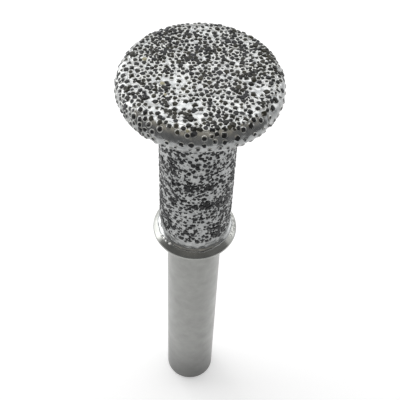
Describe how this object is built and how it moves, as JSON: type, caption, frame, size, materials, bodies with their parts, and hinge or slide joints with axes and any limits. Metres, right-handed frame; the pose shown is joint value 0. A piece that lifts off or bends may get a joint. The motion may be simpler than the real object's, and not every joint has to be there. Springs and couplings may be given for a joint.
{
  "type": "brazed diamond burr",
  "caption": "Mounted diamond burr: grit-covered mushroom head and neck on a plain round shank, with a collar between them.",
  "frame": {"origin": "centre of the shank's flat end face, on which the burr stands", "axes": "+Z along the tool's axis from the shank's end to the head; X and Y are any two square directions, since the turned form is the same all round"},
  "size_m": [0.0156, 0.0156, 0.0538],
  "materials": {
    "ground_steel": "satin ground steel, brighter on the collar",
    "brazed_grit": "dark grey-green diamond grains in bright silver braze"
  },
  "bodies": {
    "root": {"steel_blank": "ground_steel", "grit_coat": "brazed_grit"}
  },
  "joints": []
}
